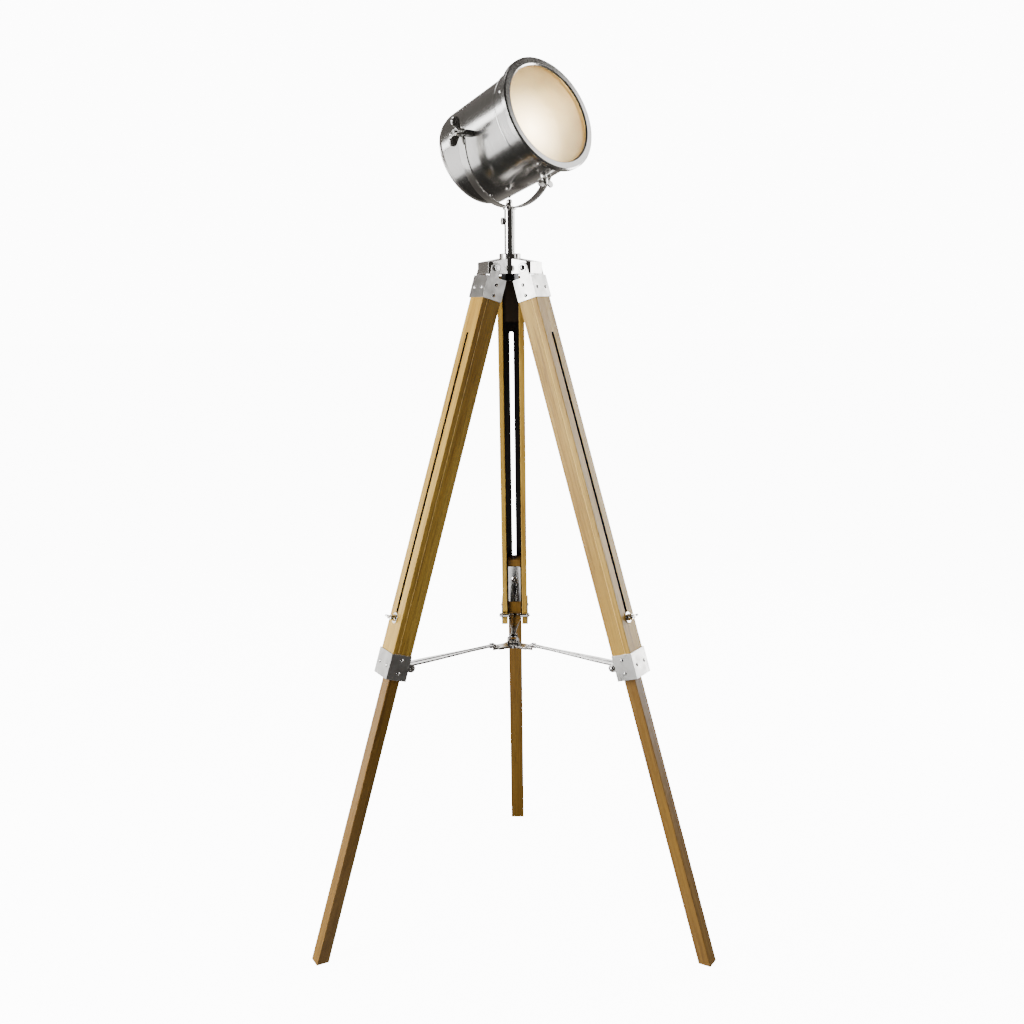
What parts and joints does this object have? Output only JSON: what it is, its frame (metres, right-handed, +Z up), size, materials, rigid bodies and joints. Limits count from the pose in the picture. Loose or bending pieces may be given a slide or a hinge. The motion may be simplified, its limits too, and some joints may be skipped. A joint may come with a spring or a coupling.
{
  "type": "tripod spotlight floor lamp",
  "caption": "Floor lamp with a tilting brushed-metal drum spotlight in a U-shaped yoke on a telescoping, folding wooden tripod with nickel fittings.",
  "frame": {"origin": "middle of the box round the lamp's footprint, on the floor; the pole stands over y = -0.0921 m", "axes": "+Z up; +Y towards the back leg, whose foot is straight behind the pole; +X to the right when the lamp is seen from the front"},
  "size_m": [0.6894, 0.5972, 1.5335],
  "materials": {
    "leg_wood": "satin varnished, straight grain",
    "lower_wood": "satin varnished, darker stain",
    "plate_nickel": "satin nickel plate",
    "cast_nickel": "polished nickel",
    "hardware_chrome": "polished",
    "drum_steel": "brushed round the axis",
    "black_steel": "satin black",
    "frosted_glass": "frosted, warm cream",
    "reflector_metal": "bright",
    "holder_plastic": "matt",
    "bulb_glass": "opal",
    "gland_rubber": "matt"
  },
  "bodies": {
    "stand": {"crown_hub": "cast_nickel", "pole": "hardware_chrome", "pole_nut": "black_steel"},
    "back_upper_leg": {"back_leg_board": "leg_wood", "back_leg_rails": "leg_wood", "back_leg_bracket": "plate_nickel", "back_leg_collar": "plate_nickel", "back_leg_screws": "hardware_chrome", "back_leg_hinge_bolt": "hardware_chrome", "back_leg_brace_pin": "hardware_chrome"},
    "back_lower_leg_body": {"back_lower_leg": "lower_wood", "back_clamp_bolt": "hardware_chrome"},
    "back_nut": {"back_wing_nut": "hardware_chrome"},
    "back_brace_stay": {"back_stay": "plate_nickel"},
    "left_upper_leg": {"left_leg_board": "leg_wood", "left_leg_rails": "leg_wood", "left_leg_bracket": "plate_nickel", "left_leg_collar": "plate_nickel", "left_leg_screws": "hardware_chrome", "left_leg_hinge_bolt": "hardware_chrome", "left_leg_brace_pin": "hardware_chrome"},
    "left_lower_leg_body": {"left_lower_leg": "lower_wood", "left_clamp_bolt": "hardware_chrome"},
    "left_nut": {"left_wing_nut": "hardware_chrome"},
    "left_brace_stay": {"left_stay": "plate_nickel"},
    "right_upper_leg": {"right_leg_board": "leg_wood", "right_leg_rails": "leg_wood", "right_leg_bracket": "plate_nickel", "right_leg_collar": "plate_nickel", "right_leg_screws": "hardware_chrome", "right_leg_hinge_bolt": "hardware_chrome", "right_leg_brace_pin": "hardware_chrome"},
    "right_lower_leg_body": {"right_lower_leg": "lower_wood", "right_clamp_bolt": "hardware_chrome"},
    "right_nut": {"right_wing_nut": "hardware_chrome"},
    "right_brace_stay": {"right_stay": "plate_nickel"},
    "brace_centre": {"brace_hub": "cast_nickel"},
    "pan_lock": {"pan_lock_screw": "hardware_chrome"},
    "fork": {"yoke": "hardware_chrome", "pan_spigot": "hardware_chrome", "acorn_nut": "hardware_chrome"},
    "head": {"drum": "drum_steel", "drum_screws": "hardware_chrome", "hinge_base": "hardware_chrome", "hinge_pin": "hardware_chrome", "latch_stud": "hardware_chrome", "pivot_bolts": "hardware_chrome", "cable_gland": "gland_rubber", "lamp_holder": "holder_plastic", "bulb": "bulb_glass", "reflector": "reflector_metal"},
    "door": {"door_ring": "drum_steel", "ring_screws": "hardware_chrome", "lens": "frosted_glass", "lens_retainer": "reflector_metal", "hinge_leaf": "hardware_chrome", "latch_keeper": "hardware_chrome"},
    "latch_nut": {"latch_wing_nut": "hardware_chrome"},
    "tilt_nut_left": {"tilt_wing_nut_left": "hardware_chrome"},
    "tilt_nut_right": {"tilt_wing_nut_right": "hardware_chrome"}
  },
  "joints": [
    {"name": "back_leg_fold", "type": "hinge", "parent": "stand", "child": "back_upper_leg", "pos_m": [0, -0.05083, 1.176], "axis": [-1, 0, 0], "range_deg": [0, 11.55]},
    {"name": "left_leg_fold", "type": "hinge", "parent": "stand", "child": "left_upper_leg", "pos_m": [-0.03575, -0.11275, 1.176], "axis": [0.5, -0.866, 0], "range_deg": [0, 11.55]},
    {"name": "right_leg_fold", "type": "hinge", "parent": "stand", "child": "right_upper_leg", "pos_m": [0.03575, -0.11275, 1.176], "axis": [0.5, 0.866, 0], "range_deg": [0, 11.55]},
    {"name": "back_stay_swing", "type": "hinge", "parent": "back_upper_leg", "child": "back_brace_stay", "pos_m": [0, 0.12181, 0.48974], "axis": [-1, 0, 0], "range_deg": [0, 64.85]},
    {"name": "left_stay_swing", "type": "hinge", "parent": "left_upper_leg", "child": "left_brace_stay", "pos_m": [-0.18526, -0.19907, 0.48974], "axis": [0.5, -0.866, 0], "range_deg": [0, 64.85]},
    {"name": "right_stay_swing", "type": "hinge", "parent": "right_upper_leg", "child": "right_brace_stay", "pos_m": [0.18526, -0.19907, 0.48974], "axis": [0.5, 0.866, 0], "range_deg": [0, 64.85]},
    {"name": "brace_hub_rise", "type": "slide", "parent": "stand", "child": "brace_centre", "axis": [0, 0, 1], "range_m": [0, 0.1425]},
    {"name": "back_leg_slide", "type": "slide", "parent": "back_upper_leg", "child": "back_lower_leg_body", "axis": [0, -0.2849, 0.9586], "range_m": [0, 0.48]},
    {"name": "left_leg_slide", "type": "slide", "parent": "left_upper_leg", "child": "left_lower_leg_body", "axis": [0.2467, 0.1424, 0.9586], "range_m": [0, 0.48]},
    {"name": "right_leg_slide", "type": "slide", "parent": "right_upper_leg", "child": "right_lower_leg_body", "axis": [-0.2467, 0.1424, 0.9586], "range_m": [0, 0.48]},
    {"name": "back_nut_turn", "type": "hinge", "parent": "back_lower_leg_body", "child": "back_nut", "pos_m": [0, 0.14397, 0.57666], "axis": [0, 0.9586, 0.2849], "continuous": true},
    {"name": "left_nut_turn", "type": "hinge", "parent": "left_lower_leg_body", "child": "left_nut", "pos_m": [-0.20445, -0.21015, 0.57666], "axis": [-0.8301, -0.4793, 0.2849], "continuous": true},
    {"name": "right_nut_turn", "type": "hinge", "parent": "right_lower_leg_body", "child": "right_nut", "pos_m": [0.20445, -0.21015, 0.57666], "axis": [0.8301, -0.4793, 0.2849], "continuous": true},
    {"name": "head_pan", "type": "hinge", "parent": "stand", "child": "fork", "pos_m": [0, -0.09211, 1.4033], "axis": [0, 0, 1], "range_deg": [-170, 170]},
    {"name": "head_tilt", "type": "hinge", "parent": "fork", "child": "head", "pos_m": [0, -0.09211, 1.4033], "axis": [-0.6947, -0.7193, 0], "range_deg": [-28.5, 5.5]},
    {"name": "door_open", "type": "hinge", "parent": "head", "child": "door", "pos_m": [0.02426, -0.11554, 1.52373], "axis": [-0.6947, -0.7193, 0], "range_deg": [0, 100]},
    {"name": "latch_nut_turn", "type": "hinge", "parent": "head", "child": "latch_nut", "pos_m": [0.0624, -0.15236, 1.32055], "axis": [0.2282, -0.2204, -0.9483], "continuous": true},
    {"name": "tilt_nut_left_turn", "type": "hinge", "parent": "head", "child": "tilt_nut_left", "pos_m": [-0.08336, -0.17843, 1.4033], "axis": [-0.6947, -0.7193, 0], "continuous": true},
    {"name": "tilt_nut_right_turn", "type": "hinge", "parent": "head", "child": "tilt_nut_right", "pos_m": [0.08336, -0.00579, 1.4033], "axis": [0.6947, 0.7193, 0], "continuous": true},
    {"name": "pan_lock_turn", "type": "hinge", "parent": "stand", "child": "pan_lock", "pos_m": [-0.01154, -0.09542, 1.259], "axis": [-0.9613, -0.2756, 0], "continuous": true}
  ],
  "couplings": [
    {"joint": "left_leg_fold", "follows": "back_leg_fold", "ratio": 1},
    {"joint": "right_leg_fold", "follows": "back_leg_fold", "ratio": 1},
    {"joint": "back_stay_swing", "follows": "back_leg_fold", "ratio": 5.6105},
    {"joint": "left_stay_swing", "follows": "back_leg_fold", "ratio": 5.6105},
    {"joint": "right_stay_swing", "follows": "back_leg_fold", "ratio": 5.6105},
    {"joint": "brace_hub_rise", "follows": "back_leg_fold", "m_per_rad": 0.70455}
  ]
}
